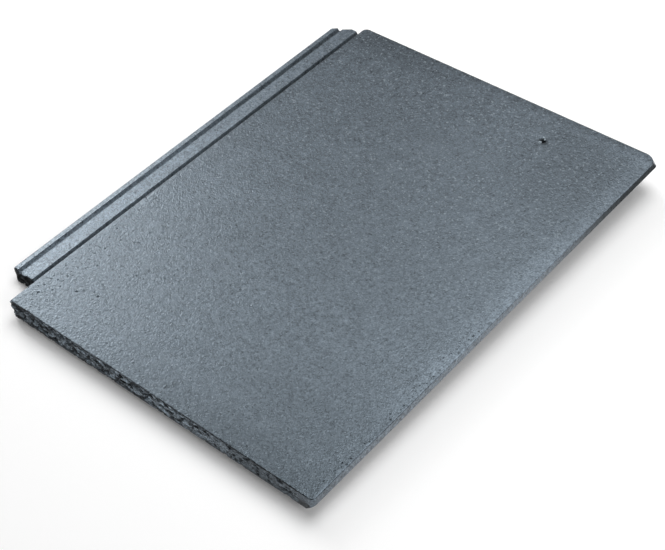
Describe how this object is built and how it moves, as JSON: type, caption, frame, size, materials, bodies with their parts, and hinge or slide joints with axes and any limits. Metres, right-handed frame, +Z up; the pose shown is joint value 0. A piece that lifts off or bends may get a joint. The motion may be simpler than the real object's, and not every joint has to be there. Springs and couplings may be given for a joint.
{
  "type": "concrete roof tile",
  "caption": "Flat interlocking roof tile with a thin leading edge, side underlock and overlock, hanging nibs and a nail hole.",
  "frame": {"origin": "centre of the bounding box, on the floor that the tile lies on", "axes": "+X across the tile towards its overlock edge, +Y from the cut tail up to the head, +Z up"},
  "size_m": [0.334, 0.4204, 0.03],
  "materials": {
    "concrete": "satin"
  },
  "bodies": {
    "root": {"roof_tile": "concrete"}
  },
  "joints": []
}
